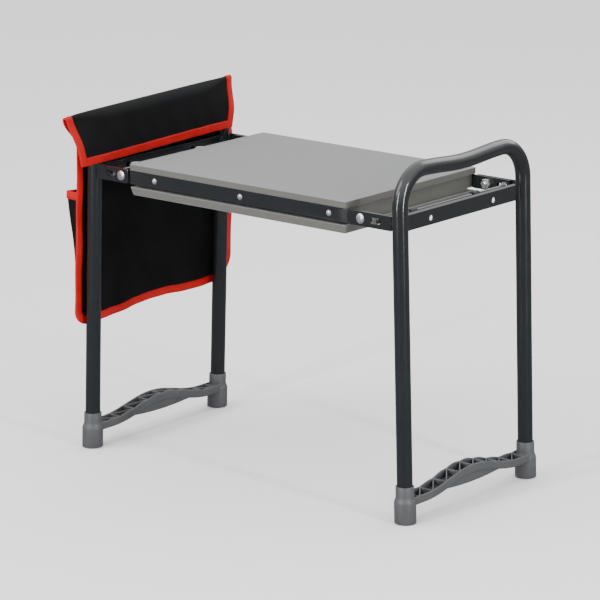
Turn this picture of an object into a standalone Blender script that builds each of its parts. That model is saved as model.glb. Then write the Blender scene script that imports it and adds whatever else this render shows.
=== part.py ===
"""Folding garden kneeler seat with a tool bag, in metres, +Z up.

Two tubular leg frames stand on moulded foot bars. Each frame carries a cross bar and two
bracket ears, and the ears pivot on bolts in the joggled ends of the seat's side rails. A
spring-held lock rod lies across each end, in slots in the ears and under the rails' ends.
The seat is a board between the rails with a foam pad on each face. A cloth tool bag hangs
over the left handle. Lengths below are measured from the middle of the four feet, and the
whole object is then moved so that its origin is the middle of its box, on the floor.
"""

import math

import bmesh
import bpy
from mathutils import Matrix, Vector

# Driving dimensions
GAP = 0.0003  # between faces that touch
FEET_X = 0.586  # between the two leg frames, on the floor
FEET_Y = 0.2833  # between the front and the back tube
LEAN = 0.030  # how far the legs lean in, for each metre of height
TUBE_RADIUS = 0.011
TUBE_WALL = 0.0012
GRIP_HEIGHT = 0.4898  # the handle's centre line, at its two high points
GRIP_DIP = 0.0046
BEND_RADIUS = 0.050
PIVOT_HEIGHT = 0.421
LEFT_PIVOT_X = -0.2225
RIGHT_PIVOT_X = 0.2172
PAD_LEFT = -0.2055
PAD_RIGHT = 0.1920
PAD_HALF_WIDTH = 0.1494
RAIL_BOTTOM = 0.4110
RAIL_TOP = 0.4305
RAIL_FACE = 0.1490  # the outer face of the rails and ears, from the middle

# Foot bar
FOOT_RADIUS = 0.0155
FOOT_NECK_RADIUS = 0.0130
FOOT_SHOULDER = (0.0295, 0.0375)
FOOT_RIM = 0.0530
SOCKET_FLOOR = 0.0080
BAR_WIDTH = 0.026
BAR_END = 0.1296
BAR_LOW = 0.0257
BAR_HIGH = 0.0370
BAR_LOW_RISE = 0.0153
BAR_HIGH_RISE = 0.0165
BAR_RISE_HALF = 0.110
LENS_HALF = 0.066
LENS_WIDTH = 0.020
BAY_COUNT = 8
BAY_LENGTH = 0.031
RIB = 0.0024

# Brackets, pivots and locks
EAR_THICKNESS = 0.002
EAR_LOW = 0.4105
EAR_HIGH = 0.4310
EAR_END_RIGHT = 0.1942
EAR_END_LEFT = -0.2093
CROSSBAR_LOW = 0.4080
CROSSBAR_HIGH = 0.4300
CROSSBAR_FLANGE = 0.009
SHEET = 0.002
SPRING_HOLE_Y = 0.072
SPRING_HOLE_Z = 0.4175
BOLT_RADIUS = 0.004
HOLE_RADIUS = BOLT_RADIUS + GAP
WASHER_THICKNESS = 0.0008
RAIL_THICKNESS = 0.003
RAIL_STEP = 0.006
JOGGLE = EAR_THICKNESS + WASHER_THICKNESS + 2 * GAP
ROD_RADIUS = 0.003
ROD_INSET = 0.0330  # the lock rod, inward of the tubes' centre line
LOCK_TRAVEL = 0.009
TONGUE_BEYOND_ROD = 0.009
SCREW_SPACING = 0.160
SCREW_X = 0.0018
SCREW_RADIUS = 0.0022
SCREW_HEAD = (0.0042, 0.0022)
SCREW_LENGTH = 0.014

# Seat
BOARD_LEFT = PAD_LEFT + RAIL_STEP / 2
BOARD_RIGHT = PAD_RIGHT - RAIL_STEP * 3 / 4
BOARD_FOOT_HALF = 0.135  # half the width of the board's part below the rails
BOTTOM_PAD_TOP = 0.4068
BOTTOM_PAD_LOW = 0.3945
BOTTOM_PAD_SLANT = 0.003
TOP_PAD_TOP = 0.4405

# Tool bag
CLOTH = 0.003
BAG_GAP = 0.0015
PANEL_Y = (-0.165, 0.184)
PANEL_BOTTOM = 0.192
FLAP_Y = (-0.205, 0.150)
FLAP_BOTTOM = 0.434
POCKET_TOP = 0.393
POCKET_BOTTOM = 0.205
POCKET_KNEE = 0.285
POCKET_DEPTH = 0.022
POCKET_FOOT_DEPTH = 0.006
POCKET_COUNT = 3
POCKET_WALL = 0.002


def leg_x(height):
    """The distance of the tubes' centre line from the middle, at a height."""
    return FEET_X / 2 - LEAN * height


BAG_OUTSIDE = leg_x(POCKET_TOP) + TUBE_RADIUS + BAG_GAP + CLOTH + GAP + POCKET_DEPTH
FOOT_OUTSIDE = leg_x(0) + FOOT_RADIUS
BOX_MIDDLE = Vector(
    ((FOOT_OUTSIDE - BAG_OUTSIDE) / 2, (FLAP_Y[0] + PANEL_Y[1]) / 2, 0)
)
LEFT_PIVOT = Vector((LEFT_PIVOT_X, 0, PIVOT_HEIGHT))
RIGHT_PIVOT = Vector((RIGHT_PIVOT_X, 0, PIVOT_HEIGHT))
ROD_X = leg_x(PIVOT_HEIGHT) - ROD_INSET


# Scene and materials


def clear_scene():
    for thing in list(bpy.data.objects):
        bpy.data.objects.remove(thing)


def new_collection(name):
    made = bpy.data.collections.new(name)
    bpy.context.scene.collection.children.link(made)
    return made


clear_scene()
PARTS = new_collection("garden_kneeler")
CUTTERS = new_collection("cutters")


def material(name, colour, roughness, metallic=0.0):
    made = bpy.data.materials.new(name)
    made.use_nodes = True
    shader = made.node_tree.nodes["Principled BSDF"]
    shader.inputs["Base Color"].default_value = (*colour, 1)
    shader.inputs["Roughness"].default_value = roughness
    shader.inputs["Metallic"].default_value = metallic
    return made


PAINT = material("grey_paint", (0.055, 0.060, 0.063), 0.35)
PLASTIC = material("grey_plastic", (0.13, 0.13, 0.135), 0.55)
FOAM = material("grey_foam", (0.33, 0.33, 0.335), 0.8)
BOARD = material("board_plastic", (0.12, 0.12, 0.11), 0.6)
ZINC = material("zinc_plate", (0.75, 0.75, 0.76), 0.3, 1.0)
BLACK = material("black_plastic", (0.02, 0.02, 0.02), 0.5)
CLOTH_BLACK = material("black_cloth", (0.008, 0.008, 0.010), 0.85)


def empty(name, where, parent=None):
    """An empty at a place measured from the middle of the feet."""
    made = bpy.data.objects.new(name, None)
    PARTS.objects.link(made)
    made["place"] = list(where)
    made.parent = parent
    made.location = where - Vector(parent["place"]) if parent else where - BOX_MIDDLE
    return made


def place(thing, parent, where, surface):
    """Hangs a part on its empty, at a place measured from the middle of the feet."""
    thing.parent = parent
    thing.location = Vector(where) - Vector(parent["place"])
    thing.data.materials.clear()
    thing.data.materials.append(surface)
    for collection in list(thing.users_collection):
        collection.objects.unlink(thing)
    PARTS.objects.link(thing)
    return thing


# Shapes


def mesh_object(name, mesh):
    made = bpy.data.objects.new(name, mesh)
    bpy.context.scene.collection.objects.link(made)
    return made


def from_bmesh(name, shape):
    mesh = bpy.data.meshes.new(name)
    shape.to_mesh(mesh)
    shape.free()
    return mesh_object(name, mesh)


def frozen(thing):
    """A mesh object of the same name, as the modifiers or the curve leave it, with doubles merged."""
    bpy.context.view_layer.update()
    graph = bpy.context.evaluated_depsgraph_get()
    mesh = bpy.data.meshes.new_from_object(thing.evaluated_get(graph))
    name = thing.name
    matrix = thing.matrix_world.copy()
    bpy.data.objects.remove(thing)
    shape = bmesh.new()
    shape.from_mesh(mesh)
    bmesh.ops.remove_doubles(shape, verts=shape.verts, dist=1e-7)
    bmesh.ops.transform(shape, matrix=matrix, verts=shape.verts)
    bpy.data.meshes.remove(mesh)
    return from_bmesh(name, shape)


def smooth(thing, degrees=40):
    thing.data.shade_smooth()
    thing.data.set_sharp_from_angle(angle=math.radians(degrees))
    return thing


def box(name, low, high):
    """A block between two corners, about its own middle, and that middle."""
    low, high = Vector(low), Vector(high)
    size = high - low
    shape = bmesh.new()
    bmesh.ops.create_cube(shape, size=1, matrix=Matrix.Diagonal((*size, 1)))
    return from_bmesh(name, shape), (low + high) / 2


def rod(name, radius, length, axis="Y", sides=16):
    """A plain cylinder about its own middle, along an axis."""
    turn = {
        "X": Matrix.Rotation(math.pi / 2, 4, "Y"),
        "Y": Matrix.Rotation(math.pi / 2, 4, "X"),
        "Z": Matrix.Identity(4),
    }[axis]
    shape = bmesh.new()
    bmesh.ops.create_cone(
        shape,
        cap_ends=True,
        segments=sides,
        radius1=radius,
        radius2=radius,
        depth=length,
        matrix=turn,
    )
    return from_bmesh(name, shape)


def outline(name, loops, thickness, plane="XY"):
    """A flat outline with holes, given as closed loops, thickened evenly about its plane."""
    curve = bpy.data.curves.new(name, "CURVE")
    curve.dimensions = "2D"
    curve.fill_mode = "BOTH"
    curve.extrude = thickness / 2
    for loop in loops:
        spline = curve.splines.new("POLY")
        spline.points.add(len(loop) - 1)
        spline.use_cyclic_u = True
        for point, (across, up) in zip(spline.points, loop):
            point.co = (across, up, 0, 1)
    made = bpy.data.objects.new(name, curve)
    bpy.context.scene.collection.objects.link(made)
    if plane == "XZ":
        made.rotation_euler = (math.pi / 2, 0, 0)
    if plane == "YZ":
        made.rotation_euler = (math.pi / 2, 0, math.pi / 2)
    return frozen(made)


def circle(across, up, radius, sides=16):
    steps = [2 * math.pi * i / sides for i in range(sides)]
    return [(across + radius * math.cos(a), up + radius * math.sin(a)) for a in steps]


def slot(left, right, up, radius, sides=8):
    """A hole with round ends, between two centres."""
    ends = [(right, -math.pi / 2), (left, math.pi / 2)]
    return [
        (across + radius * math.cos(start + a), up + radius * math.sin(start + a))
        for across, start in ends
        for a in (math.pi * i / sides for i in range(sides + 1))
    ]


def turned(name, profile, steps=24):
    """A turned solid about Z. The profile runs down its outer side."""
    mesh = bpy.data.meshes.new(name)
    points = [(radius, 0, height) for radius, height in profile]
    mesh.from_pydata(points, [(i, i + 1) for i in range(len(points) - 1)], [])
    made = mesh_object(name, mesh)
    screw = made.modifiers.new("turn", "SCREW")
    screw.steps = screw.render_steps = steps
    screw.use_merge_vertices = True
    screw.merge_threshold = 1e-6
    return frozen(made)


def boolean(thing, operand, kind="DIFFERENCE"):
    """Cuts or joins with an operand that stays in the scene, hidden."""
    for collection in list(operand.users_collection):
        collection.objects.unlink(operand)
    CUTTERS.objects.link(operand)
    operand.hide_render = True
    operand.display_type = "WIRE"
    step = thing.modifiers.new(operand.name, "BOOLEAN")
    step.operation = kind
    step.object = operand
    step.solver = "EXACT"
    return thing


def joined(name, things):
    """Solids that stay apart, made one mesh, for use as a cutter."""
    shape = bmesh.new()
    for thing in things:
        part = thing.data
        part.transform(thing.matrix_basis)
        shape.from_mesh(part)
        bpy.data.objects.remove(thing)
    return from_bmesh(name, shape)


# Leg frames


def swell(share):
    """A smooth hump: 1 in the middle, 0 at -1 and 1 and beyond."""
    return 0.5 + 0.5 * math.cos(math.pi * min(1, abs(share)))


def leg_centre_line(side):
    """Up the front tube, round the bend, along the dipped grip and down the back tube."""
    top = FEET_Y / 2 - BEND_RADIUS
    bend_steps, grip_steps = 7, 12
    half = [(FEET_Y / 2, SOCKET_FLOOR + 3 * GAP)]
    half += [
        (
            top + BEND_RADIUS * math.cos(math.pi / 2 * i / bend_steps),
            GRIP_HEIGHT - BEND_RADIUS + BEND_RADIUS * math.sin(math.pi / 2 * i / bend_steps),
        )
        for i in range(bend_steps)
    ]
    places = [top * (1 - 2 * i / grip_steps) for i in range(grip_steps + 1)]
    grip = [(y, GRIP_HEIGHT - GRIP_DIP * swell(y / top)) for y in places]
    line = half + grip + [(-y, z) for y, z in reversed(half)]
    return [Vector((side * leg_x(z), y, z)) for y, z in line]


def leg_tube(name, side, parent):
    """A bent tube with open ends, each in its foot's socket."""
    points = leg_centre_line(side)
    foot = Vector((side * leg_x(0), 0, 0))
    curve = bpy.data.curves.new(name, "CURVE")
    curve.dimensions = "3D"
    curve.bevel_depth = TUBE_RADIUS
    curve.bevel_resolution = 6
    spline = curve.splines.new("POLY")
    spline.points.add(len(points) - 1)
    for point, where in zip(spline.points, points):
        point.co = (*(where - foot), 1)
    made = bpy.data.objects.new(name, curve)
    bpy.context.scene.collection.objects.link(made)
    wall = made.modifiers.new("wall", "SOLIDIFY")
    wall.thickness = TUBE_WALL
    wall.offset = -1
    return place(smooth(frozen(made)), parent, foot, PAINT)


def bar_top(y):
    return BAR_HIGH + BAR_HIGH_RISE * swell(y / BAR_RISE_HALF)


def bar_bottom(y):
    return BAR_LOW + BAR_LOW_RISE * swell(y / BAR_RISE_HALF)


def foot_bar(name, side, parent):
    """One moulding: two sockets and an arched bar with an open lattice of ribs on top."""
    steps = 20
    across = [-BAR_END + 2 * BAR_END * i / steps for i in range(steps + 1)]
    edge = [(y, bar_top(y)) for y in across]
    edge += [(y, bar_bottom(y)) for y in reversed(across)]
    bar = outline(name, [edge], BAR_WIDTH, "YZ")

    steps = 10
    across = [-LENS_HALF + 2 * LENS_HALF * i / steps for i in range(steps + 1)]
    low, sag = bar_bottom(LENS_HALF) + 0.001, 0.0035
    edge = [(y, bar_bottom(y) + 0.002) for y in across]
    edge += [(y, low - sag * (1 - (y / LENS_HALF) ** 2)) for y in reversed(across)]
    boolean(bar, outline(name + "_lens", [edge], LENS_WIDTH, "YZ"), "UNION")

    profile = [
        (0, SOCKET_FLOOR),
        (TUBE_RADIUS + GAP, SOCKET_FLOOR),
        (TUBE_RADIUS + GAP, FOOT_RIM),
        (FOOT_NECK_RADIUS, FOOT_RIM),
        (FOOT_NECK_RADIUS, FOOT_SHOULDER[1]),
        (FOOT_RADIUS, FOOT_SHOULDER[0]),
        (FOOT_RADIUS, 0),
        (0, 0),
    ]
    for end in (-1, 1):
        socket = turned(f"{name}_socket_{end}", profile)
        socket.data.transform(Matrix.Translation((0, end * FEET_Y / 2, 0)))
        boolean(bar, socket, "UNION")
    boolean(bar, lattice_cutter(name + "_cells"))

    moulding = frozen(bar)
    lean = Matrix.Identity(4)
    lean[0][2] = -LEAN
    moulding.data.transform(lean)
    if side < 0:
        moulding.data.transform(Matrix.Rotation(math.pi, 4, "Z"))
    return place(smooth(moulding), parent, (side * leg_x(0), 0, 0), PLASTIC)


def lattice_cutter(name):
    """Two three-cornered cells for each bay, with a rib between the bays and one on the slant."""
    half = BAR_WIDTH / 2 - RIB
    cells = []
    for bay in range(BAY_COUNT):
        start = (bay - BAY_COUNT / 2) * BAY_LENGTH + RIB / 2
        end = start + BAY_LENGTH - RIB
        slant = math.hypot(2 * half, end - start)
        along = RIB / 2 * slant / (2 * half)
        aside = RIB / 2 * slant / (end - start)
        near = [(half, start + 2 * along), (half, end), (-half + 2 * aside, end)]
        far = [(-half, start), (half - 2 * aside, start), (-half, end - 2 * along)]
        middle = (start + end) / 2
        floor = bar_bottom(middle) + RIB
        height = bar_top(middle) - floor + 0.010
        for corner, loop in enumerate((near, far)):
            cell = outline(f"{name}_{bay}_{corner}", [loop], height)
            cell.location.z = floor + height / 2
            cells.append(cell)
    return joined(name, cells)


def crossbar(name, side, parent):
    """A channel between the two tubes, open to the seat, with a hole for each spring."""
    outside = leg_x((CROSSBAR_LOW + CROSSBAR_HIGH) / 2)
    low, high = CROSSBAR_LOW - PIVOT_HEIGHT, CROSSBAR_HIGH - PIVOT_HEIGHT
    inner = -CROSSBAR_FLANGE
    loop = [
        (inner, low),
        (0, low),
        (0, high),
        (inner, high),
        (inner, high - SHEET),
        (-SHEET, high - SHEET),
        (-SHEET, low + SHEET),
        (inner, low + SHEET),
    ]
    if side < 0:
        loop = [(-x, z) for x, z in reversed(loop)]
    length = FEET_Y - 2 * TUBE_RADIUS - 2 * GAP
    bar = outline(name, [loop], length, "XZ")
    holes = []
    for end in (-1, 1):
        hole = rod(f"{name}_hole_{end}", BOLT_RADIUS, 0.02, "X")
        hole.location = (0, end * SPRING_HOLE_Y, SPRING_HOLE_Z - PIVOT_HEIGHT)
        holes.append(hole)
    cutter = joined(name + "_holes", holes)
    where = (side * outside, 0, PIVOT_HEIGHT)
    made = frozen(boolean(bar, cutter))
    return place(made, parent, where, PAINT)


def ear(name, side, face, parent):
    """A plate welded to the inner side of a tube, with a pivot hole and the lock rod's slot."""
    pivot = RIGHT_PIVOT_X if side > 0 else -LEFT_PIVOT_X
    end = (EAR_END_RIGHT if side > 0 else -EAR_END_LEFT) - pivot
    beside = FEET_Y / 2 - RAIL_FACE + EAR_THICKNESS / 2
    reach = math.sqrt((TUBE_RADIUS + GAP) ** 2 - (abs(beside) - EAR_THICKNESS / 2) ** 2)
    root = leg_x(PIVOT_HEIGHT) - reach - GAP - pivot
    low, high, corner = EAR_LOW - PIVOT_HEIGHT, EAR_HIGH - PIVOT_HEIGHT, 0.004
    quarter = [math.pi / 2 * i / 4 for i in range(5)]
    loop = [(root, low), (root, high)]
    loop += [
        (end + corner - corner * math.sin(a), high - corner + corner * math.cos(a))
        for a in quarter
    ]
    loop += [
        (end + corner - corner * math.cos(a), low + corner - corner * math.sin(a))
        for a in quarter
    ]
    rest = ROD_X - pivot
    radius = ROD_RADIUS + 0.0015
    loops = [loop, circle(0, 0, HOLE_RADIUS), slot(rest - LOCK_TRAVEL, rest, 0, radius)]
    if side < 0:
        loops = [[(-x, z) for x, z in reversed(one)] for one in loops]
    made = outline(name, loops, EAR_THICKNESS, "XZ")
    y = face * (RAIL_FACE - EAR_THICKNESS / 2)
    return place(made, parent, (side * pivot, y, PIVOT_HEIGHT), PAINT)


# Seat


def seat_rail(name, face, parent):
    """A strip whose two ends step inwards past the ears and rest on the lock rods from above."""
    outer, inner = RAIL_FACE, RAIL_FACE - RAIL_THICKNESS
    left, right = BOARD_LEFT, BOARD_RIGHT
    ends = (-ROD_X - TONGUE_BEYOND_ROD, ROD_X + TONGUE_BEYOND_ROD)
    loop = [
        (left, outer),
        (left - RAIL_STEP, outer - JOGGLE),
        (ends[0], outer - JOGGLE),
        (ends[0], inner - JOGGLE),
        (left - RAIL_STEP, inner - JOGGLE),
        (left, inner),
        (right, inner),
        (right + RAIL_STEP, inner - JOGGLE),
        (ends[1], inner - JOGGLE),
        (ends[1], outer - JOGGLE),
        (right + RAIL_STEP, outer - JOGGLE),
        (right, outer),
    ]
    loop = [(x, face * y) for x, y in loop]
    height = RAIL_TOP - RAIL_BOTTOM
    strip = outline(name, [loop], height)
    middle = (RAIL_TOP + RAIL_BOTTOM) / 2
    tools = []
    for x in (LEFT_PIVOT_X, RIGHT_PIVOT_X):
        hole = rod(f"{name}_pivot_hole", HOLE_RADIUS, 0.02)
        hole.location = (x, face * RAIL_FACE, PIVOT_HEIGHT - middle)
        tools.append(hole)
    for x in screw_places():
        hole = rod(f"{name}_screw_hole", SCREW_RADIUS + GAP, 0.02, sides=12)
        hole.location = (x, face * RAIL_FACE, 0)
        tools.append(hole)
    for side in (-1, 1):
        rest = side * ROD_X
        reach = side * (ROD_RADIUS + GAP)
        inner_end = rest - side * (LOCK_TRAVEL + 0.006)
        low, high = sorted((rest + reach, inner_end))
        top = PIVOT_HEIGHT + ROD_RADIUS + GAP - middle
        notch, where = box(
            f"{name}_saddle", (low, -0.02, -height), (high, 0.02, top)
        )
        notch.location = where + Vector((0, face * RAIL_FACE, 0))
        tools.append(notch)
    made = frozen(boolean(strip, joined(name + "_cuts", tools)))
    return place(made, parent, (0, 0, middle), PAINT)


def screw_places():
    return [SCREW_X + SCREW_SPACING * i for i in (-1, 0, 1)]


def seat_board(name, parent):
    """The board that both pads are glued to, cut back below the rails and drilled for screws."""
    half = RAIL_FACE - RAIL_THICKNESS - GAP
    low = (BOARD_LEFT, -half, BOTTOM_PAD_TOP + GAP)
    high = (BOARD_RIGHT, half, RAIL_TOP)
    board, middle = box(name, low, high)
    holes = []
    for x in screw_places():
        for face in (-1, 1):
            hole = rod(f"{name}_hole", SCREW_RADIUS + GAP, 0.03, sides=12)
            height = (RAIL_TOP + RAIL_BOTTOM) / 2
            hole.location = Vector((x, face * half, height)) - middle
            holes.append(hole)
    for face in (-1, 1):
        near, far = sorted((face * BOARD_FOOT_HALF, face * (half + 0.010)))
        rebate, where = box(
            f"{name}_rebate",
            (low[0] - 0.010, near, low[2] - 0.010),
            (high[0] + 0.010, far, RAIL_BOTTOM),
        )
        rebate.location = where - middle
        holes.append(rebate)
    made = frozen(boolean(board, joined(name + "_cuts", holes)))
    return place(made, parent, middle, BOARD)


def pad(name, low, high, slant, parent):
    """A foam pad with eased edges. A slant draws its lower face in on every side."""
    block, middle = box(name, low, high)
    size = Vector(high) - Vector(low)
    for vertex in block.data.vertices:
        if vertex.co.z < 0:
            vertex.co.x *= 1 - 2 * slant / size.x
            vertex.co.y *= 1 - 2 * slant / size.y
    ease = block.modifiers.new("eased_edges", "BEVEL")
    ease.width = 0.0012
    ease.segments = 2
    return place(block, parent, middle, FOAM)


# Fasteners


def turned_along_y(name, profile, face, steps):
    """A turned solid laid along Y, its top facing away from the seat's middle."""
    made = turned(name, profile, steps)
    made.data.transform(Matrix.Rotation(-face * math.pi / 2, 4, "X"))
    return smooth(made)


def pivot_bolt(name, x, face, parent):
    """A flat domed head outside the ear, and a shank through ear, washer, rail and nut."""
    head, rise = 0.007, 0.0022
    length = EAR_THICKNESS + WASHER_THICKNESS + RAIL_THICKNESS + 4 * GAP + 0.0085
    profile = [
        (0, rise),
        (head * 0.6, rise * 0.9),
        (head * 0.92, rise * 0.5),
        (head, 0),
        (BOLT_RADIUS, 0),
        (BOLT_RADIUS, -length),
        (0, -length),
    ]
    made = turned_along_y(name, profile, face, 20)
    return place(made, parent, (x, face * (RAIL_FACE + GAP), PIVOT_HEIGHT), ZINC)


def pivot_washer(name, x, face, parent):
    loops = [circle(0, 0, 0.0075, 20), circle(0, 0, HOLE_RADIUS)]
    made = outline(name, loops, WASHER_THICKNESS, "XZ")
    y = RAIL_FACE - EAR_THICKNESS - GAP - WASHER_THICKNESS / 2
    return place(made, parent, (x, face * y, PIVOT_HEIGHT), ZINC)


def pivot_nut(name, x, face, parent):
    thickness = 0.0065
    loops = [circle(0, 0, 0.0075, 6), circle(0, 0, HOLE_RADIUS)]
    made = outline(name, loops, thickness, "XZ")
    y = RAIL_FACE - JOGGLE - RAIL_THICKNESS - GAP - thickness / 2
    return place(made, parent, (x, face * y, PIVOT_HEIGHT), ZINC)


def rail_screw(name, x, face, parent):
    """A round-headed screw through the rail into the board."""
    radius, rise = SCREW_HEAD
    profile = [
        (0, rise),
        (radius * 0.6, rise * 0.85),
        (radius * 0.92, rise * 0.45),
        (radius, 0),
        (SCREW_RADIUS, 0),
        (SCREW_RADIUS, 0.002 - SCREW_LENGTH),
        (0, -SCREW_LENGTH),
    ]
    made = turned_along_y(name, profile, face, 12)
    height = (RAIL_TOP + RAIL_BOTTOM) / 2
    return place(made, parent, (x, face * (RAIL_FACE + GAP), height), ZINC)


# Locks


def ring(name, bore, outside, length):
    loops = [circle(0, 0, outside, 16), circle(0, 0, bore, 16)]
    return outline(name, loops, length, "XZ")


def lock_rod(side_name, side, parent):
    """The rod, with a sleeve for each spring and a clip inside each rail end."""
    x = side * ROD_X
    bar = smooth(rod(side_name + "_lock_rod", ROD_RADIUS, 2 * RAIL_FACE + 0.002))
    place(bar, parent, (x, 0, PIVOT_HEIGHT), PAINT)
    clip_y = RAIL_FACE - JOGGLE - RAIL_THICKNESS - 0.002
    for face, word in ((-1, "front"), (1, "back")):
        sleeve = ring(f"{side_name}_rod_sleeve_{word}", ROD_RADIUS + GAP, 0.0055, 0.014)
        place(sleeve, parent, (x, face * SPRING_HOLE_Y, PIVOT_HEIGHT), BLACK)
        clip = ring(f"{side_name}_rod_clip_{word}", ROD_RADIUS + GAP, 0.0062, 0.0016)
        place(clip, parent, (x, face * clip_y, PIVOT_HEIGHT), ZINC)


def lock_spring(name, side, face, parent):
    """A wire spring from the rod's sleeve to a hole in the cross bar."""
    wire, radius, turns, per_turn = 0.0005, 0.0030, 6, 8
    start = Vector((ROD_X + 0.0055 + wire + GAP, 0, PIVOT_HEIGHT))
    end = Vector((leg_x(SPRING_HOLE_Z) + 0.002, 0, SPRING_HOLE_Z))
    first = start.lerp(end, 0.10)
    last = start.lerp(end, 0.72)
    points = [start]
    for i in range(turns * per_turn + 1):
        share = i / (turns * per_turn)
        angle = 2 * math.pi * i / per_turn
        middle = first.lerp(last, share)
        points.append(
            middle + Vector((0, radius * math.cos(angle), radius * math.sin(angle)))
        )
    points += [last.lerp(end, 0.35), end]
    curve = bpy.data.curves.new(name, "CURVE")
    curve.dimensions = "3D"
    curve.bevel_depth = wire
    curve.bevel_resolution = 1
    curve.use_fill_caps = True
    spline = curve.splines.new("POLY")
    spline.points.add(len(points) - 1)
    for point, where in zip(spline.points, points):
        point.co = (side * (where.x - start.x), where.y, where.z - start.z, 1)
    made = bpy.data.objects.new(name, curve)
    bpy.context.scene.collection.objects.link(made)
    where = (side * start.x, face * SPRING_HOLE_Y, start.z)
    return place(frozen(made), parent, where, ZINC)


# Tool bag


def leaned(thing, height=0.0):
    """Leans a part of the left end in with its leg, about a height."""
    lean = Matrix.Identity(4)
    lean[0][2] = LEAN
    lean[0][3] = -LEAN * height
    thing.data.transform(lean)
    return thing


def bag_cloth(name, parent):
    """One length of cloth: down the inner side a little, over the handle, and down the outside."""
    inside = TUBE_RADIUS + BAG_GAP
    outside = inside + CLOTH
    steps = [math.pi * i / 10 for i in range(11)]
    over = [(outside * math.cos(a), GRIP_HEIGHT + outside * math.sin(a)) for a in steps]
    under = [(inside * math.cos(a), GRIP_HEIGHT + inside * math.sin(a)) for a in steps]
    cover_bottom = GRIP_HEIGHT - 0.020
    loop = [(inside, FLAP_BOTTOM), (outside, FLAP_BOTTOM)] + over
    loop += [(-outside, cover_bottom), (-inside, cover_bottom)] + under[::-1]
    cover = outline(name, [loop], FLAP_Y[1] - FLAP_Y[0], "XZ")
    cover.data.transform(Matrix.Translation((0, (FLAP_Y[0] + FLAP_Y[1]) / 2, 0)))
    panel, middle = box(
        name + "_panel",
        (-outside, PANEL_Y[0], PANEL_BOTTOM),
        (-inside, PANEL_Y[1], GRIP_HEIGHT),
    )
    panel.data.transform(Matrix.Translation(middle))
    made = leaned(frozen(boolean(cover, panel, "UNION")))
    return place(made, parent, (-leg_x(0), 0, 0), CLOTH_BLACK)


def bag_pockets(name, parent):
    """A row of open-topped pockets on the outer face, deep at the mouth and flat at the foot."""
    face = -(TUBE_RADIUS + BAG_GAP + CLOTH + GAP)
    low_y, high_y = PANEL_Y[0] + 0.001, PANEL_Y[1] - 0.001

    def wedge(title, grow, low, high, top, bottom):
        loop = [
            (face - grow, bottom),
            (face - grow, top),
            (face - POCKET_DEPTH + grow, top),
            (face - POCKET_FOOT_DEPTH + grow, POCKET_KNEE),
            (face - POCKET_FOOT_DEPTH + grow, bottom),
        ]
        made = outline(title, [loop], high - low, "XZ")
        made.data.transform(Matrix.Translation((0, (low + high) / 2, 0)))
        return made

    body = wedge(name, 0, low_y, high_y, POCKET_TOP, POCKET_BOTTOM)
    width = (high_y - low_y - POCKET_WALL) / POCKET_COUNT
    hollows = []
    for i in range(POCKET_COUNT):
        start = low_y + POCKET_WALL + i * width
        end = start + width - POCKET_WALL
        low = POCKET_BOTTOM + POCKET_WALL
        hollows.append(
            wedge(f"{name}_{i}", POCKET_WALL, start, end, POCKET_TOP + 0.01, low)
        )
    made = leaned(frozen(boolean(body, joined(name + "_hollows", hollows))))
    return place(made, parent, (-leg_x(0), 0, 0), CLOTH_BLACK)


# Assembly


def build():
    seat = empty("seat_frame", Vector((0, 0, 0)))
    left_leg = empty("left_leg_pivot", LEFT_PIVOT, seat)
    right_leg = empty("right_leg_pivot", RIGHT_PIVOT, seat)
    left_lock = empty("left_lock", Vector((-ROD_X, 0, PIVOT_HEIGHT)), left_leg)
    right_lock = empty("right_lock", Vector((ROD_X, 0, PIVOT_HEIGHT)), right_leg)

    seat_board("seat_board", seat)
    y = PAD_HALF_WIDTH
    low, high = (PAD_LEFT, -y, RAIL_TOP + GAP), (PAD_RIGHT, y, TOP_PAD_TOP)
    pad("top_pad", low, high, 0, seat)
    low, high = (PAD_LEFT, -y, BOTTOM_PAD_LOW), (PAD_RIGHT, y, BOTTOM_PAD_TOP)
    pad("bottom_pad", low, high, BOTTOM_PAD_SLANT, seat)

    ends = (("left", -1, left_leg, left_lock), ("right", 1, right_leg, right_lock))
    for face, word in ((-1, "front"), (1, "back")):
        seat_rail(f"seat_rail_{word}", face, seat)
        for number, x in enumerate(screw_places(), 1):
            rail_screw(f"rail_screw_{word}_{number}", x, face, seat)
        for name, side, leg, _ in ends:
            x = RIGHT_PIVOT_X if side > 0 else LEFT_PIVOT_X
            pivot_bolt(f"{name}_pivot_bolt_{word}", x, face, seat)
            pivot_washer(f"{name}_pivot_washer_{word}", x, face, seat)
            pivot_nut(f"{name}_pivot_nut_{word}", x, face, seat)
            ear(f"{name}_ear_{word}", side, face, leg)
            lock_spring(f"{name}_lock_spring_{word}", side, face, leg)
    for name, side, leg, lock in ends:
        leg_tube(f"{name}_leg_tube", side, leg)
        foot_bar(f"{name}_foot_bar", side, leg)
        crossbar(f"{name}_crossbar", side, leg)
        lock_rod(name, side, lock)
    bag_cloth("bag_cloth", left_leg)
    bag_pockets("bag_pockets", left_leg)


build()
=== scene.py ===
"""Looks of a folding garden kneeler seat with a tool bag, laid out as a Blender add-on."""

import math

import bmesh
import bpy
import numpy as np
from mathutils import Matrix, Vector


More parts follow.
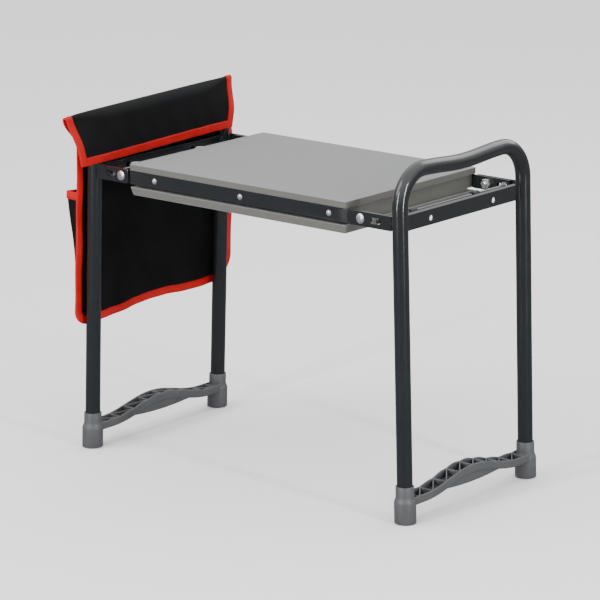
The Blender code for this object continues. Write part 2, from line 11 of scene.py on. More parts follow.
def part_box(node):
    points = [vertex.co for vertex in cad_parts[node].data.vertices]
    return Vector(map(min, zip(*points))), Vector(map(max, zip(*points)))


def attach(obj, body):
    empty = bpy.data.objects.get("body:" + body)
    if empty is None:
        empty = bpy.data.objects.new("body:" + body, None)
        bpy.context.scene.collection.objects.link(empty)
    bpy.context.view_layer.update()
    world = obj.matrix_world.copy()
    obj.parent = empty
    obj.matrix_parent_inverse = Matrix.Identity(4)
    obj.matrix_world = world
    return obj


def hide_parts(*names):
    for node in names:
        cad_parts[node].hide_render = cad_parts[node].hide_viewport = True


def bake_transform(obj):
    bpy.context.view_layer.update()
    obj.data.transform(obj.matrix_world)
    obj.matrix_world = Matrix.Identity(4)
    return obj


bl_info = {
    "name": "Garden kneeler",
    "version": (1, 0, 0),
    "blender": (4, 5, 0),
    "location": "3D View > Sidebar > Kneeler",
    "description": "Makes the visible pieces of a folding garden kneeler seat round its frame",
    "category": "Object",
}

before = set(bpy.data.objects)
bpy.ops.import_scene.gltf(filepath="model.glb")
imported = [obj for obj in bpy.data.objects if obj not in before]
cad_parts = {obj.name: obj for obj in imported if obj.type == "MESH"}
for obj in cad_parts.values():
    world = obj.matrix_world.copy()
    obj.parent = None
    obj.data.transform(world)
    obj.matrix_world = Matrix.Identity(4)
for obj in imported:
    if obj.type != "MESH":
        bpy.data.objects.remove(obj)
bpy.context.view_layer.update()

# The middle of the four feet, which the frames and the seat are set out from
FEET = [np.array(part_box(f"{end}_foot_bar")) for end in ("left", "right")]
MIDDLE = np.array(
    [(FEET[0][0, 0] + FEET[1][1, 0]) / 2, (FEET[0][0, 1] + FEET[0][1, 1]) / 2, 0.0]
)
SIDES = (("left", -1), ("right", 1))
FACES = (("front", -1), ("back", 1))
LEAN = 0.030  # how far the legs lean in, for each metre of height


def box(node):
    """A CAD node's lowest and highest corners, from the middle of the feet."""
    return np.array(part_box(node)) - MIDDLE


def middle(node):
    return box(node).mean(axis=0)


# Sizes and colours that a user would change


def length(name, description, default):
    return bpy.props.FloatProperty(
        name=name, description=description, default=default, unit="LENGTH", precision=5
    )


def colour(name, description, default):
    return bpy.props.FloatVectorProperty(
        name=name, description=description, default=default, subtype="COLOR", size=3
    )


PAD_CORNER = 0.0018  # radius of the pads' upright corners, seen from above


class KneelerSizes(bpy.types.PropertyGroup):
    tube_radius: length("Tube radius", "Outer radius of the leg tubes", 0.011)
    tube_spread: length("Tube spread", "From a leg's front tube to its back tube", 0.2833)
    grip_height: length("Grip height", "The handle's centre line at its high points", 0.4898)
    grip_dip: length("Grip dip", "How far the handle dips in the middle", 0.0046)
    bend_radius: length("Bend radius", "Of the handle's two corners", 0.050)
    pad_edge: length("Pad edge", "Radius of the foam pads' eased edges", 0.0014)
    pad_crown: length("Pad crown", "How far the foam swells in the middle", 0.0007)
    wire: length("Spring wire", "Radius of the lock springs' wire", 0.0006)


class BagSizes(bpy.types.PropertyGroup):
    cloth: length("Cloth", "Thickness of the bag's cloth", 0.0012)
    binding_width: length("Binding width", "Of the tape along the bag's edges", 0.0122)
    binding_thickness: length("Binding thickness", "Over cloth and tape", 0.0032)
    pocket_depth: length("Pocket depth", "How far the pockets stand out at the mouth", 0.0225)
    ripple: length("Ripple", "Height of the soft waves in the hanging cloth", 0.0022)
    pocket_count: bpy.props.IntProperty(
        name="Pockets", description="Pockets in the row", default=3, min=1, max=6
    )


class KneelerColours(bpy.types.PropertyGroup):
    paint: colour("Paint", "Powder coat on the metal", (0.010, 0.0115, 0.013))
    plastic: colour("Plastic", "The foot mouldings", (0.062, 0.063, 0.066))
    foam_face: colour("Foam face", "The pads' upper and lower faces", (0.215, 0.217, 0.221))
    # The foam side colour is painted shade: a darker, more olive copy of the foam that the pads' upright
    # sides take in place of their shade.
    foam_shaded_side: colour("Foam side", "The pads' cut edges", (0.088, 0.087, 0.077))
    board: colour("Board", "The board between the pads", (0.080, 0.080, 0.070))
    zinc: colour("Zinc", "Bolts, screws, springs and clips", (0.62, 0.62, 0.63))
    sleeve: colour("Sleeve", "The plastic sleeves on the lock rods", (0.012, 0.012, 0.013))
    cloth: colour("Cloth", "The tool bag's nylon", (0.0022, 0.0024, 0.0031))
    binding: colour("Binding", "The tape along the bag's edges", (0.400, 0.0006, 0.0006))


# Surfaces


def surface_object(name, grid, wrap=True, uv=None, sharp=35):
    """A mesh on a grid of points: rows along the first axis, and round the second if it wraps.
    Rows that shrink to a point become poles. A closed shape is turned so its faces point out."""
    rows, columns = grid.shape[:2]
    last = columns if wrap else columns - 1
    i, j = np.meshgrid(np.arange(rows - 1), np.arange(last), indexing="ij")
    k = (j + 1) % columns
    faces = np.stack([i * columns + j, i * columns + k, (i + 1) * columns + k, (i + 1) * columns + j], -1)
    faces = faces.reshape(-1, 4)
    points = grid.reshape(-1, 3)
    a, b, c, d = (points[faces[:, n]] for n in range(4))
    volume = np.einsum("ij,ij->i", a, np.cross(b, c) + np.cross(c, d)).sum()
    if volume < 0:
        faces = faces[:, ::-1]
    mesh = bpy.data.meshes.new(name)
    mesh.from_pydata(points.tolist(), [], faces.tolist())
    if uv is not None:
        layer = mesh.uv_layers.new(name="along")
        corners = np.empty(len(mesh.loops), dtype=np.int32)
        mesh.loops.foreach_get("vertex_index", corners)
        layer.data.foreach_set("uv", uv.reshape(-1, 2)[corners].ravel().astype(np.float32))
    return finished_mesh(name, mesh, sharp)


def finished_mesh(name, mesh, sharp=35):
    """Merges doubles, drops empty faces, shades smooth and links the object."""
    shape = bmesh.new()
    shape.from_mesh(mesh)
    bmesh.ops.remove_doubles(shape, verts=shape.verts, dist=1e-6)
    bmesh.ops.dissolve_degenerate(shape, edges=shape.edges, dist=1e-7)
    shape.to_mesh(mesh)
    shape.free()
    mesh.shade_smooth()
    mesh.set_sharp_from_angle(angle=math.radians(sharp))
    made = bpy.data.objects.new(name, mesh)
    bpy.context.scene.collection.objects.link(made)
    return made


def merged(name, pieces):
    """Several finished shells as one object."""
    shape = bmesh.new()
    for piece in pieces:
        shape.from_mesh(piece.data)
        old = piece.data
        bpy.data.objects.remove(piece)
        bpy.data.meshes.remove(old)
    mesh = bpy.data.meshes.new(name)
    shape.to_mesh(mesh)
    shape.free()
    made = bpy.data.objects.new(name, mesh)
    bpy.context.scene.collection.objects.link(made)
    return made


def carried(path, across, up, section):
    """A section carried along a path: each point is path + s * across + t * up."""
    section = np.broadcast_to(section, (len(path),) + section.shape[-2:])
    return (
        path[:, None]
        + section[..., :1] * across[:, None]
        + section[..., 1:] * up[:, None]
    )


def round_section(width, height, power=2.0, count=24):
    """A superellipse: |s/a|^p + |t/b|^p = 1. Power 2 is an ellipse and 8 nearly a rectangle."""
    angle = np.linspace(0, 2 * np.pi, count, endpoint=False) + np.pi / count
    c, s = np.cos(angle), np.sin(angle)
    reach = (np.abs(c) ** power + np.abs(s) ** power) ** (-1 / power)
    return np.stack([reach * c * width / 2, reach * s * height / 2], -1)


def capped(grid, ease=0.0004):
    """Closes both ends of a carried section: the last ring steps in by the ease, then to a pole."""
    ends = []
    for ring, inner in ((grid[0], grid[1]), (grid[-1], grid[-2])):
        centre = ring.mean(axis=0)
        outward = centre - inner.mean(axis=0)
        outward /= np.linalg.norm(outward)
        size = np.linalg.norm(ring - centre, axis=1).mean()
        step = centre + (ring - centre) * (1 - ease / size) + outward * ease
        pole = np.broadcast_to(centre + outward * ease, ring.shape)
        ends.append((step, pole))
    (start, first), (finish, final) = ends
    return np.concatenate([first[None], start[None], grid, finish[None], final[None]])


def turned(profile, centre, axis, count=32):
    """A profile of (radius, distance along the axis) turned about an axis through a centre."""
    axis = np.array(axis, dtype=float)
    side = np.cross(axis, [0.37, 0.61, 0.70])
    side /= np.linalg.norm(side)
    other = np.cross(axis, side)
    angle = np.linspace(0, 2 * np.pi, count, endpoint=False)
    ring = np.cos(angle)[:, None] * side + np.sin(angle)[:, None] * other
    profile = np.array(profile)
    return centre + profile[:, :1, None] * ring + profile[:, 1:, None] * axis


def unit(vectors):
    """Vectors scaled to a length of 1, along the last axis."""
    return vectors / np.linalg.norm(vectors, axis=-1, keepdims=True)


def everywhere(vector, path):
    """The same vector at every point of a path."""
    return np.broadcast_to(np.array(vector, dtype=float), path.shape)


def smoothstep(value):
    value = np.clip(value, 0, 1)
    return value * value * (3 - 2 * value)


FOOT_RADIUS = 0.0155
FOOT_SPAN = box("right_foot_bar")[1, 0] - FOOT_RADIUS


def leg_x(height):
    """The tubes' centre line from the middle, at a height: it leans in by a steady share."""
    return FOOT_SPAN - LEAN * height


def finish_piece(piece, surface, body, nodes=()):
    """Moves a piece from the middle of the feet into the frame, and gives it all it needs."""
    piece.data.transform(Matrix.Translation(Vector(MIDDLE)))
    piece.data.materials.clear()
    piece.data.materials.append(surface)
    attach(piece, body)
    if nodes:
        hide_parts(*nodes)
    return piece


def eased_copy(node, ease, surface, body, segments=2):
    """A CAD node's shape with its doubles merged, flat faces rejoined and sharp edges eased."""
    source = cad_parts[node]
    shape = bmesh.new()
    shape.from_mesh(source.data)
    bmesh.ops.remove_doubles(shape, verts=shape.verts, dist=1e-6)
    bmesh.ops.dissolve_limit(
        shape, angle_limit=math.radians(1), verts=shape.verts, edges=shape.edges
    )
    mesh = bpy.data.meshes.new(node + "_shape")
    shape.to_mesh(mesh)
    shape.free()
    mesh.shade_smooth()
    mesh.set_sharp_from_angle(angle=math.radians(30))
    piece = bpy.data.objects.new(node + "_finish", mesh)
    bpy.context.scene.collection.objects.link(piece)
    bevel = piece.modifiers.new("eased_edges", "BEVEL")
    bevel.width = ease
    bevel.segments = segments
    bevel.limit_method = "ANGLE"
    bevel.angle_limit = math.radians(40)
    bevel.harden_normals = True
    mesh.materials.append(surface)
    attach(piece, body)
    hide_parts(node)
    return piece


# Finishes


def new_finish(name, base, roughness, metallic=0.0):
    """A Principled material, its node tree and its shader."""
    made = bpy.data.materials.new(name)
    made.use_nodes = True
    tree = made.node_tree
    shader = tree.nodes["Principled BSDF"]
    shader.inputs["Base Color"].default_value = (*base, 1)
    shader.inputs["Roughness"].default_value = roughness
    shader.inputs["Metallic"].default_value = metallic
    return made, tree, shader


def node(tree, kind, values=None, **settings):
    made = tree.nodes.new(kind)
    for key, value in settings.items():
        setattr(made, key, value)
    for key, value in (values or {}).items():
        if isinstance(value, bpy.types.NodeSocket):
            tree.links.new(value, made.inputs[key])
        else:
            made.inputs[key].default_value = value
    return made


def noise(tree, coordinates, scale, detail=3.0):
    return node(
        tree, "ShaderNodeTexNoise", {"Vector": coordinates, "Scale": scale, "Detail": detail}
    ).outputs["Fac"]


def ranged(tree, value, low, high):
    """Noise's middle range, 0.3 to 0.7, stretched to low and high."""
    values = {"Value": value, "From Min": 0.3, "From Max": 0.7, "To Min": low, "To Max": high}
    return node(tree, "ShaderNodeMapRange", values).outputs["Result"]


def mixed(tree, factor, first, second):
    """One colour as the factor is 0 and another as it is 1, either of them fixed or linked."""
    return node(
        tree, "ShaderNodeMix", {0: factor, 6: first, 7: second}, data_type="RGBA"
    ).outputs[2]


def scaled(base, share):
    return [min(1, c * share) for c in base] + [1]


def varied(tree, shader, base, amount, factor):
    """The base colour, darker and lighter by an amount as the factor goes from 0 to 1."""
    found = mixed(tree, factor, scaled(base, 1 - amount), scaled(base, 1 + amount))
    tree.links.new(found, shader.inputs["Base Color"])


def bumped(tree, shader, height, distance, strength=1.0):
    values = {"Height": height, "Distance": distance, "Strength": strength}
    bump = node(tree, "ShaderNodeBump", values)
    tree.links.new(bump.outputs["Normal"], shader.inputs["Normal"])


def object_coordinates(tree):
    return node(tree, "ShaderNodeTexCoord").outputs["Object"]


def wave(tree, coordinates, pitch, direction="X"):
    """Even ridges: Blender's wave has one crest in every 0.1 pi of its own length."""
    values = {"Vector": coordinates, "Scale": 0.1 * math.pi / pitch, "Distortion": 0.0}
    made = node(tree, "ShaderNodeTexWave", values, wave_type="BANDS", bands_direction=direction)
    return made.outputs["Fac"]


def combine(tree, operation, first, second):
    made = node(tree, "ShaderNodeMath", operation=operation)
    for socket, value in zip(made.inputs, (first, second)):
        if isinstance(value, bpy.types.NodeSocket):
            tree.links.new(value, socket)
        else:
            socket.default_value = value
    return made.outputs[0]


def paint_finish(base):
    """Glossy powder coat: an orange-peel skin, cloudy gloss and a thin clear coat."""
    made, tree, shader = new_finish("grey_powder_coat", base, 0.3)
    place = object_coordinates(tree)
    bumped(tree, shader, noise(tree, place, 500, 2), 0.00002)
    gloss = ranged(tree, noise(tree, place, 22, 5), 0.18, 0.24)
    tree.links.new(gloss, shader.inputs["Roughness"])
    varied(tree, shader, base, 0.05, ranged(tree, noise(tree, place, 60, 6), 0, 1))
    shader.inputs["Coat Weight"].default_value = 0.35
    shader.inputs["Coat Roughness"].default_value = 0.06
    return made


def plastic_finish(name, base, roughness, grain=0.00005):
    """Moulded plastic: a fine spark grain and faint flow clouds."""
    made, tree, shader = new_finish(name, base, roughness)
    place = object_coordinates(tree)
    bumped(tree, shader, noise(tree, place, 1600, 2), grain)
    varied(tree, shader, base, 0.07, ranged(tree, noise(tree, place, 35, 5), 0, 1))
    gloss = ranged(tree, noise(tree, place, 80, 4), roughness - 0.06, roughness + 0.08)
    tree.links.new(gloss, shader.inputs["Roughness"])
    return made


def foam_finish(face, side):
    """Closed-cell foam: crossed fine ribs pressed into the faces, their hollows painted darker as painted
    shade, and fine pores on the cut sides. The upright sides take a darker, more olive colour than the
    faces, as painted shade.
    """
    made, tree, shader = new_finish("grey_foam_sheet", face, 0.82)
    coordinates = node(tree, "ShaderNodeTexCoord")
    place = coordinates.outputs["Object"]
    turned_place = node(
        tree, "ShaderNodeMapping", {"Vector": place, "Rotation": (0, 0, math.radians(45))}
    ).outputs["Vector"]
    one, other = (wave(tree, turned_place, 0.0032, way) for way in "XY")
    ribs = combine(tree, "MULTIPLY", one, other)
    pores = noise(tree, place, 900, 4)
    normal = node(tree, "ShaderNodeSeparateXYZ", {"Vector": coordinates.outputs["Normal"]})
    upward = combine(tree, "ABSOLUTE", normal.outputs["Z"], 0)
    flat = combine(tree, "GREATER_THAN", upward, 0.6)
    pressed = combine(tree, "MULTIPLY", ribs, flat)
    height = combine(tree, "ADD", pressed, combine(tree, "MULTIPLY", pores, 0.25))
    bumped(tree, shader, height, 0.00035)
    # The hollows between the pressed ribs are painted darker than the crests. This is painted shade in the
    # grooves, laid over the real relief of the bump.
    ribbed = mixed(tree, ribs, scaled(face, 0.90), scaled(face, 1.08))
    # Faces that point up or down take the foam face colour. Upright sides take the darker foam side colour,
    # speckled by the pores, which is painted shade.
    speckled_shaded_side = mixed(tree, ranged(tree, pores, 0, 1), scaled(side, 0.86), scaled(side, 1.12))
    tree.links.new(mixed(tree, flat, speckled_shaded_side, ribbed), shader.inputs["Base Color"])
    return made


def zinc_finish(base):
    """Bright zinc plate, faintly clouded."""
    made, tree, shader = new_finish("bright_zinc", base, 0.3, 0.9)
    place = object_coordinates(tree)
    tree.links.new(ranged(tree, noise(tree, place, 260, 4), 0.22, 0.42), shader.inputs["Roughness"])
    varied(tree, shader, base, 0.08, ranged(tree, noise(tree, place, 400, 3), 0, 1))
    return made


def cloth_finish(base):
    """Woven nylon: threads both ways, 0.6 mm apart, with soft creases and faint wear."""
    made, tree, shader = new_finish("black_nylon", base, 0.72)
    threads = node(tree, "ShaderNodeUVMap", uv_map="along").outputs["UV"]
    warp, weft = (wave(tree, threads, 0.0006, way) for way in "XY")
    weave = combine(tree, "MAXIMUM", warp, weft)
    place = object_coordinates(tree)
    height = combine(tree, "ADD", weave, combine(tree, "MULTIPLY", noise(tree, place, 45, 4), 2.0))
    bumped(tree, shader, height, 0.00012, 0.8)
    varied(tree, shader, base, 0.35, ranged(tree, noise(tree, place, 18, 5), 0, 1))
    shader.inputs["Specular IOR Level"].default_value = 0.15
    return made


def binding_finish(base):
    """Ribbed tape: fine ribs across it, and a row of stitches near one edge."""
    made, tree, shader = new_finish("red_tape", base, 0.6)
    shader.inputs["Specular IOR Level"].default_value = 0.2
    along = node(tree, "ShaderNodeUVMap", uv_map="along").outputs["UV"]
    ribs = wave(tree, along, 0.0009, "X")
    stitches = wave(tree, along, 0.0034, "X")
    part = node(tree, "ShaderNodeSeparateXYZ", {"Vector": along})
    row = combine(tree, "COMPARE", part.outputs["Y"], 0.78)
    row.node.inputs[2].default_value = 0.05
    thread = combine(tree, "MULTIPLY", row, combine(tree, "GREATER_THAN", stitches, 0.35))
    height = combine(tree, "ADD", ribs, combine(tree, "MULTIPLY", thread, 3.0))
    bumped(tree, shader, height, 0.00012)
    cloudy = ranged(tree, noise(tree, object_coordinates(tree), 40, 4), 0, 1)
    between = combine(tree, "SUBTRACT", 1.0, combine(tree, "MULTIPLY", thread, 0.8))
    varied(tree, shader, base, 0.10, combine(tree, "MULTIPLY", cloudy, between))
    return made


FINISHES = {}


def finishes():
    """Every finish, made once."""
    if not FINISHES:
        colours = bpy.context.scene.kneeler_colours
        FINISHES.update(
            paint=paint_finish(tuple(colours.paint)),
            plastic=plastic_finish("grey_foot_plastic", tuple(colours.plastic), 0.48),
            foam=foam_finish(tuple(colours.foam_face), tuple(colours.foam_shaded_side)),
            board=plastic_finish("grey_board_plastic", tuple(colours.board), 0.6),
            zinc=zinc_finish(tuple(colours.zinc)),
            sleeve=plastic_finish("black_sleeve_plastic", tuple(colours.sleeve), 0.45),
            cloth=cloth_finish(tuple(colours.cloth)),
            binding=binding_finish(tuple(colours.binding)),
        )
    return FINISHES


# Leg frames


class KNEELER_OT_legs(bpy.types.Operator):
    """Makes the two bent leg tubes, with the weld beads that hold the brackets to them"""

    bl_idname = "kneeler.legs"
    bl_label = "Leg tubes"

    def execute(self, context):
        sizes = context.scene.kneeler_sizes
        for end, side in SIDES:
            tube = capped(self.tube(sizes, side))
            piece = surface_object(f"{end}_leg_pipe", tube)
            leg = f"{end}_leg"
            finish_piece(piece, finishes()["paint"], leg, [f"{end}_leg_tube"])
            beads = merged(f"{end}_leg_welds", self.beads(sizes, end, side))
            finish_piece(beads, finishes()["paint"], leg)
        return {"FINISHED"}

    def tube(self, sizes, side):
        """A circle carried up the front tube, round a quarter arc, along a cosine dip and back down."""
        reach, bend = sizes.tube_spread / 2, sizes.bend_radius
        top = reach - bend
        rise = sizes.grip_height - bend
        arc = np.linspace(0, np.pi / 2, 15)[:-1]
        bottom = FOOT_BORE + 0.0009
        heights = np.concatenate([np.linspace(bottom, rise, 12)[:-1], rise + bend * np.sin(arc)])
        places = np.concatenate([np.full(11, reach), top + bend * np.cos(arc)])
        grip = np.linspace(top, -top, 41)
        dipped = sizes.grip_height - sizes.grip_dip * (0.5 + 0.5 * np.cos(np.pi * grip / top))
        y = np.concatenate([places, grip, -places[::-1]])
        z = np.concatenate([heights, dipped, heights[::-1]])
        path = np.stack([side * leg_x(z), y, z], -1)
        along = unit(np.gradient(path, axis=0))
        flat = unit(everywhere((1, 0, side * LEAN), path))
        width = 2 * sizes.tube_radius
        return carried(path, np.cross(along, flat), flat, round_section(width, width, 2, 40))

    def beads(self, sizes, end, side):
        """Upright beads whose radius swells and shrinks along them, as a row of weld spots does.
        Two stand beside the tube, by the cross bar, and one at the root of the ear."""
        bar, ear = box(f"{end}_crossbar"), box(f"{end}_ear_front")
        root = ear[0, 0] if side < 0 else ear[1, 0]
        reach = sizes.tube_spread / 2 - sizes.tube_radius
        out = []
        for face in (-1, 1):
            spots = (
                (bar[:, 2], 0.0006, face * (reach + 0.0002)),
                (bar[:, 2], -0.0072, face * (reach + 0.0022)),
                (ear[:, 2], None, face * abs(ear[0, 1] + 0.0026)),
            )
            for (low, high), beside, y in spots:
                z = np.linspace(low + 0.001, high - 0.001, 40)
                x = root + side * 0.0004 if beside is None else side * (leg_x(z) + beside)
                path = np.stack([x + 0 * z, y + 0 * z, z], -1)
                swell = 0.00125 * (1 + 0.22 * np.sin(2 * np.pi * (z - low) / 0.0026))
                ring = round_section(2, 2, 2, 12)[None] * swell[:, None, None]
                along_x, along_y = everywhere((1, 0, 0), path), everywhere((0, 1, 0), path)
                out.append(surface_object("bead", capped(carried(path, along_x, along_y, ring))))
        return out


FOOT_BORE = 0.0080
FOOT_NECK = 0.0130
FOOT_RIM = 0.0530
BAR_WALL = 0.0025
BAR_HALF = 0.0130
BAR_END = 0.1378
BAYS = 8
BAY = 0.0310


def hump(y, half):
    """1 in the middle and 0 at the half and beyond, as a cosine."""
    return 0.5 + 0.5 * np.cos(np.pi * np.clip(np.abs(y) / half, 0, 1))


def bar_top(y):
    return 0.0370 + 0.0165 * hump(y, 0.110)


def bar_bottom(y):
    return 0.0257 + 0.0153 * hump(y, 0.110)


class KNEELER_OT_feet(bpy.types.Operator):
    """Makes the two foot mouldings: sockets, arched walls, crossed ribs and lens webs"""

    bl_idname = "kneeler.feet"
    bl_label = "Foot mouldings"

    def execute(self, context):
        for end, side in SIDES:
            shells = self.sockets(context.scene.kneeler_sizes)
            shells += self.walls(side) + self.ribs(side) + self.webs() + [self.floor()]
            piece = merged(f"{end}_foot_moulding", shells)
            points = np.empty(len(piece.data.vertices) * 3)
            piece.data.vertices.foreach_get("co", points)
            points = points.reshape(-1, 3)
            points[:, 0] += side * (FOOT_SPAN - LEAN * points[:, 2])
            piece.data.vertices.foreach_set("co", points.ravel())
            body = f"{end}_leg"
            finish_piece(piece, finishes()["plastic"], body, [f"{end}_foot_bar"])
        return {"FINISHED"}

    def sockets(self, sizes):
        """A stepped cup: its outer side is a cosine from the foot's radius to the neck's."""
        bore, soft = sizes.tube_radius + 0.0003, 0.0006
        drop = np.linspace(0, 1, 9)
        shoulder = FOOT_NECK + (FOOT_RADIUS - FOOT_NECK) * (0.5 - 0.5 * np.cos(np.pi * drop))
        profile = [(0, FOOT_BORE), (bore, FOOT_BORE), (bore, FOOT_RIM - soft), (bore + soft / 2, FOOT_RIM)]
        profile += [(FOOT_NECK - soft, FOOT_RIM), (FOOT_NECK - soft * 0.3, FOOT_RIM - soft * 0.3)]
        profile += [(FOOT_NECK, FOOT_RIM - soft)]
        profile += list(zip(shoulder, 0.0385 - 0.0095 * drop))
        profile += [(FOOT_RADIUS, 0.0014), (FOOT_RADIUS - 0.0004, 0.0004)]
        profile += [(FOOT_RADIUS - 0.0014, 0), (0, 0)]
        reach = sizes.tube_spread / 2
        return [
            surface_object("socket", turned(profile, np.array([0, face * reach, 0.0]), (0, 0, 1), 56))
            for face in (-1, 1)
        ]

    def strip(self, path, across, thickness, low, high):
        """An upright strip: a soft rectangle whose height follows the bar's."""
        up = everywhere((0, 0, 1), path)
        section = round_section(thickness, 2, 7, 20)[None] * np.stack(
            [np.ones_like(low), (high - low) / 2], -1
        )[:, None]
        middle_line = path.copy()
        middle_line[:, 2] = (low + high) / 2
        return surface_object("strip", capped(carried(middle_line, across, up, section), 0.0003), sharp=50)

    def walls(self, side):
        """Two long walls along the bar. The inner one has a low arch over each bay."""
        y = np.linspace(-BAR_END, BAR_END, 161)
        out = []
        for way in (-1, 1):
            path = np.stack([np.full_like(y, way * (BAR_HALF - BAR_WALL / 2)), y, 0 * y], -1)
            across = everywhere((1, 0, 0), path)
            arch = 0.0014 * np.abs(np.sin(np.pi * y / BAY)) * (way != side)
            out.append(self.strip(path, across, BAR_WALL, bar_bottom(y), bar_top(y) + arch))
        return out

    def floor(self):
        """A thin sheet that closes the cells from below."""
        y = np.linspace(-0.1285, 0.1285, 97)
        path = np.stack([0 * y, y, bar_bottom(y) + 0.0014], -1)
        across = everywhere((1, 0, 0), path)
        up = everywhere((0, 0, 1), path)
        section = round_section(2 * BAR_HALF - BAR_WALL, 0.0020, 7, 20)
        return surface_object("floor", capped(carried(path, across, up, section)), sharp=50)

    def ribs(self, side):
        """A straight rib at each bay's end, and one on the slant in each bay."""
        ends = (np.arange(BAYS + 1) - BAYS / 2) * BAY
        half = BAR_HALF - BAR_WALL * 0.6
        runs = [((-half, y), (half, y)) for y in ends]
        runs += [((side * half, a), (-side * half, b)) for a, b in zip(ends[:-1], ends[1:])]
        out = []
        for start, finish in runs:
            share = np.linspace(0, 1, 9)[:, None]
            flat = np.array(start) * (1 - share) + np.array(finish) * share
            path = np.concatenate([flat, 0 * share], -1)
            along = (path[-1] - path[0]) / np.linalg.norm(path[-1] - path[0])
            across = everywhere(np.cross(along, [0, 0, 1.0]), path)
            low, high = bar_bottom(path[:, 1]) + 0.0006, bar_top(path[:, 1]) - 0.0005
            out.append(self.strip(path, across, 0.0022, low, high))
        return out

    def webs(self):
        """A thin lens under each wall, from the bar's arched underside down to a shallow arc."""
        y = np.linspace(-0.066, 0.066, 49)
        low = bar_bottom(np.array([0.066]))[0] + 0.001 - 0.0035 * (1 - (y / 0.066) ** 2)
        high = bar_bottom(y) + 0.0015
        out = []
        for way in (-1, 1):
            path = np.stack([np.full_like(y, way * (BAR_HALF - 0.0027)), y, 0 * y], -1)
            across = everywhere((1, 0, 0), path)
            out.append(self.strip(path, across, 0.0024, np.minimum(low, high - 0.001), high))
        return out


# Seat


class KNEELER_OT_pads(bpy.types.Operator):
    """Makes the two foam pads, slightly swollen, with eased edges and pressed faces"""

    bl_idname = "kneeler.pads"
    bl_label = "Foam pads"

    def execute(self, context):
        sizes = context.scene.kneeler_sizes
        for name, up, slant in (("top_pad", 1, 0.0), ("bottom_pad", -1, 0.003)):
            piece = surface_object(f"{name}_foam", self.slab(sizes, box(name), up, slant), sharp=60)
            finish_piece(piece, finishes()["foam"], "seat", [name])
        return {"FINISHED"}

    def outline(self, half, radius):
        """A rectangle with straight sides and a quarter circle at each corner."""
        turn = np.linspace(0, np.pi / 2, 7)
        straight = np.linspace(0, 1, 32)[1:-1, None]
        arcs = []
        for start, across, along in ((0, 1, 1), (1, -1, 1), (2, -1, -1), (3, 1, -1)):
            angle = start * np.pi / 2 + turn
            corner = (half - radius) * np.array([across, along])
            arcs.append(corner + radius * np.stack([np.cos(angle), np.sin(angle)], -1))
        points = []
        for arc, following in zip(arcs, arcs[1:] + arcs[:1]):
            points += [arc, arc[-1] * (1 - straight) + following[0] * straight]
        return np.concatenate(points)

    def slab(self, sizes, corners, up, slant):
        """Rings of a soft rectangle, from a pole in the middle of one face, over both edges, to the other.
        The open face swells by the crown, less the share of the way out to the fourth power."""
        low, high = corners
        centre, half = (low + high) / 2, (high - low) / 2
        outline = self.outline(half[:2], PAD_CORNER)
        ease = sizes.pad_edge
        share = np.concatenate([np.linspace(0, 0.9, 14), np.linspace(0.92, 1, 9)])
        open_z = half[2] - sizes.pad_crown * 0.2 + sizes.pad_crown * (1 - share**4) * 0.8
        quarter = np.linspace(0, np.pi / 2, 7)[1:]
        shortest = half[1]
        inset = np.concatenate([(1 - share) * (shortest - ease) + ease, ease - ease * np.sin(quarter)])
        z = np.concatenate([open_z, open_z[-1] - ease + ease * np.cos(quarter)])
        inset = np.concatenate([inset, np.zeros(4), ease - ease * np.cos(quarter)])
        side_z = np.linspace(z[-1], -half[2] + ease, 6)[1:-1]
        z = np.concatenate([z, side_z, -half[2] + ease - ease * np.sin(quarter)])
        inset = np.concatenate([inset, [shortest]])
        z = np.concatenate([z, [-half[2]]])
        scale = (half[None, :2] - inset[:, None]) / half[None, :2]
        scale = np.where(inset[:, None] >= shortest - 1e-9, 0, scale)
        drawn = 1 - slant / half[:2] * np.clip((z[:, None] + half[2]) / (2 * half[2]), 0, 1)
        rings = outline[None] * (scale * drawn)[:, None]
        height = np.broadcast_to(up * z[:, None, None], rings.shape[:2] + (1,))
        return np.concatenate([rings, height], -1) + centre


class KNEELER_OT_brackets(bpy.types.Operator):
    """Finishes the pressed metal and moulded pieces, whose frame shapes are right, with eased edges"""

    bl_idname = "kneeler.brackets"
    bl_label = "Brackets, rails and board"

    def execute(self, context):
        surfaces = finishes()
        eased_copy("seat_board", 0.0012, surfaces["board"], "seat", 3)
        for word, _ in FACES:
            eased_copy(f"seat_rail_{word}", 0.0006, surfaces["paint"], "seat")
        for end, _ in SIDES:
            leg, lock = f"{end}_leg", f"{end}_lock"
            eased_copy(f"{end}_crossbar", 0.0007, surfaces["paint"], leg, 3)
            for word, _ in FACES:
                eased_copy(f"{end}_ear_{word}", 0.0005, surfaces["paint"], leg)
                eased_copy(f"{end}_pivot_washer_{word}", 0.0002, surfaces["zinc"], "seat")
                eased_copy(f"{end}_pivot_nut_{word}", 0.0005, surfaces["zinc"], "seat")
                eased_copy(f"{end}_rod_clip_{word}", 0.0003, surfaces["zinc"], lock)
        return {"FINISHED"}


